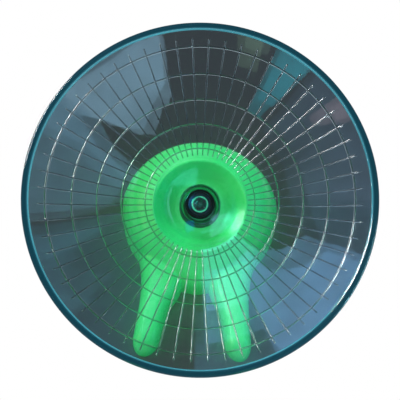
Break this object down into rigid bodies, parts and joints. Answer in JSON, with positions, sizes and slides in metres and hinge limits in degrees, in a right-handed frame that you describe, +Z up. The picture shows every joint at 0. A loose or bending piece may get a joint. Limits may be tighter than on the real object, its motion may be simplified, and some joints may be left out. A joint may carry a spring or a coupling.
{
  "type": "hamster exercise disc",
  "caption": "Tilted, see-through ribbed running dish that spins on ball bearings above a one-piece moulded stand with two front legs.",
  "frame": {"origin": "on the ground under the middle of the dish's rim, which is also the middle of the whole part seen from above", "axes": "+Z up from the ground, -Y towards the low edge of the dish and the two front legs, +X to the right of someone who faces the low edge"},
  "size_m": [0.18, 0.1561, 0.1201],
  "materials": {
    "tinted_clear_plastic": "clear injection-moulded plastic with a smoky blue-grey tint, polished, with sharp raised ribs",
    "green_plastic": "bright green moulded plastic, glossy, slightly soft edges",
    "bearing_steel": "ground bearing steel with a light film of oil",
    "polished_steel": "polished bearing balls",
    "shield_steel": "thin pressed shield, blued dark",
    "spring_steel": "blackened spring steel",
    "pin_steel": "turned and zinc-plated steel",
    "screw_steel": "zinc-plated screw steel"
  },
  "bodies": {
    "stand": {"stand": "green_plastic", "axle_pin": "pin_steel", "axle_push_nut": "pin_steel", "thrust_washer": "pin_steel", "axle_screw": "screw_steel", "axle_screw_washer": "screw_steel", "inner_spacer": "bearing_steel", "upper_bearing_inner_race": "bearing_steel", "lower_bearing_inner_race": "bearing_steel"},
    "disc": {"running_disc": "tinted_clear_plastic", "outer_spacer": "bearing_steel", "hub_retaining_ring": "spring_steel", "upper_bearing_outer_race": "bearing_steel", "upper_bearing_top_shield": "shield_steel", "upper_bearing_bottom_shield": "shield_steel", "lower_bearing_outer_race": "bearing_steel", "lower_bearing_top_shield": "shield_steel", "lower_bearing_bottom_shield": "shield_steel"},
    "upper_cage": {"upper_bearing_cage": "bearing_steel", "upper_bearing_ball_1": "polished_steel", "upper_bearing_ball_2": "polished_steel", "upper_bearing_ball_3": "polished_steel", "upper_bearing_ball_4": "polished_steel", "upper_bearing_ball_5": "polished_steel", "upper_bearing_ball_6": "polished_steel", "upper_bearing_ball_7": "polished_steel"},
    "lower_cage": {"lower_bearing_cage": "bearing_steel", "lower_bearing_ball_1": "polished_steel", "lower_bearing_ball_2": "polished_steel", "lower_bearing_ball_3": "polished_steel", "lower_bearing_ball_4": "polished_steel", "lower_bearing_ball_5": "polished_steel", "lower_bearing_ball_6": "polished_steel", "lower_bearing_ball_7": "polished_steel"}
  },
  "joints": [
    {"name": "disc_spin", "type": "hinge", "parent": "stand", "child": "disc", "pos_m": [0, 0.01681, 0.045], "axis": [0, -0.5, 0.866], "continuous": true},
    {"name": "upper_cage_spin", "type": "hinge", "parent": "stand", "child": "upper_cage", "pos_m": [0, 0.01681, 0.045], "axis": [0, -0.5, 0.866], "continuous": true},
    {"name": "lower_cage_spin", "type": "hinge", "parent": "stand", "child": "lower_cage", "pos_m": [0, 0.01681, 0.045], "axis": [0, -0.5, 0.866], "continuous": true}
  ],
  "couplings": [
    {"joint": "upper_cage_spin", "follows": "disc_spin", "ratio": 0.63226},
    {"joint": "lower_cage_spin", "follows": "disc_spin", "ratio": 0.63226}
  ]
}
